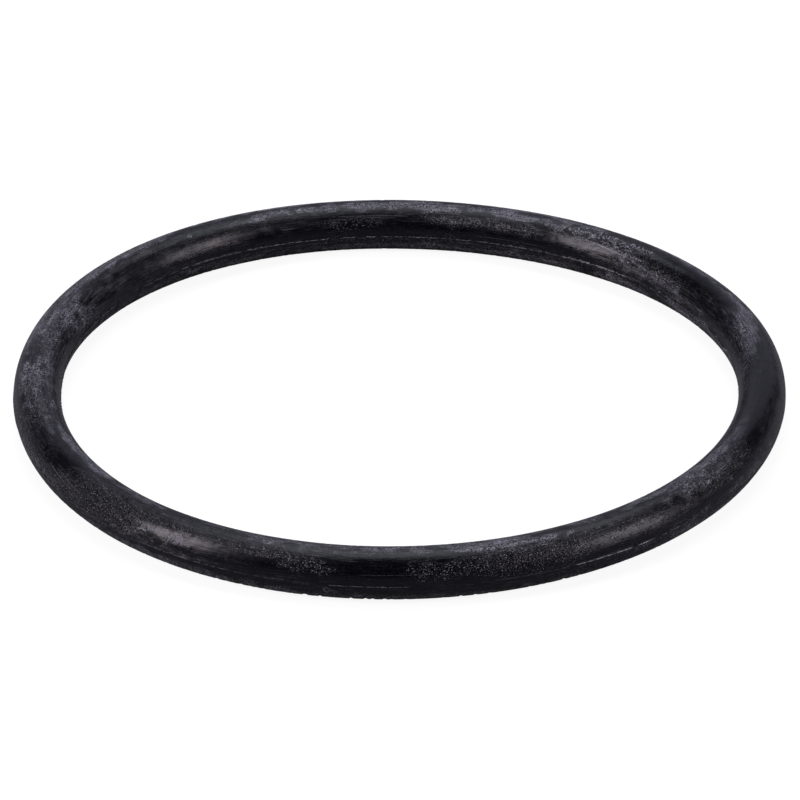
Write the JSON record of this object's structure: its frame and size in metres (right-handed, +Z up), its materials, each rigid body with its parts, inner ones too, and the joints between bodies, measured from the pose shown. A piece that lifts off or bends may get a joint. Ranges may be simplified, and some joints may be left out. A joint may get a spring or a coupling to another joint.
{
  "type": "rubber o-ring",
  "caption": "Endless ring of black rubber cord with a slightly oval section and a thin moulding line round its inner and outer walls, a little below half height.",
  "frame": {"origin": "on the ring's axis, in the plane that the ring lies on", "axes": "+Z up along the ring's axis; X and Y lie in the plane that the ring rests on, and -Y faces the viewer"},
  "size_m": [0.0828, 0.0828, 0.0056],
  "materials": {
    "black_rubber": "satin moulded rubber with a faint blue-grey bloom"
  },
  "bodies": {
    "root": {"o_ring": "black_rubber"}
  },
  "joints": []
}
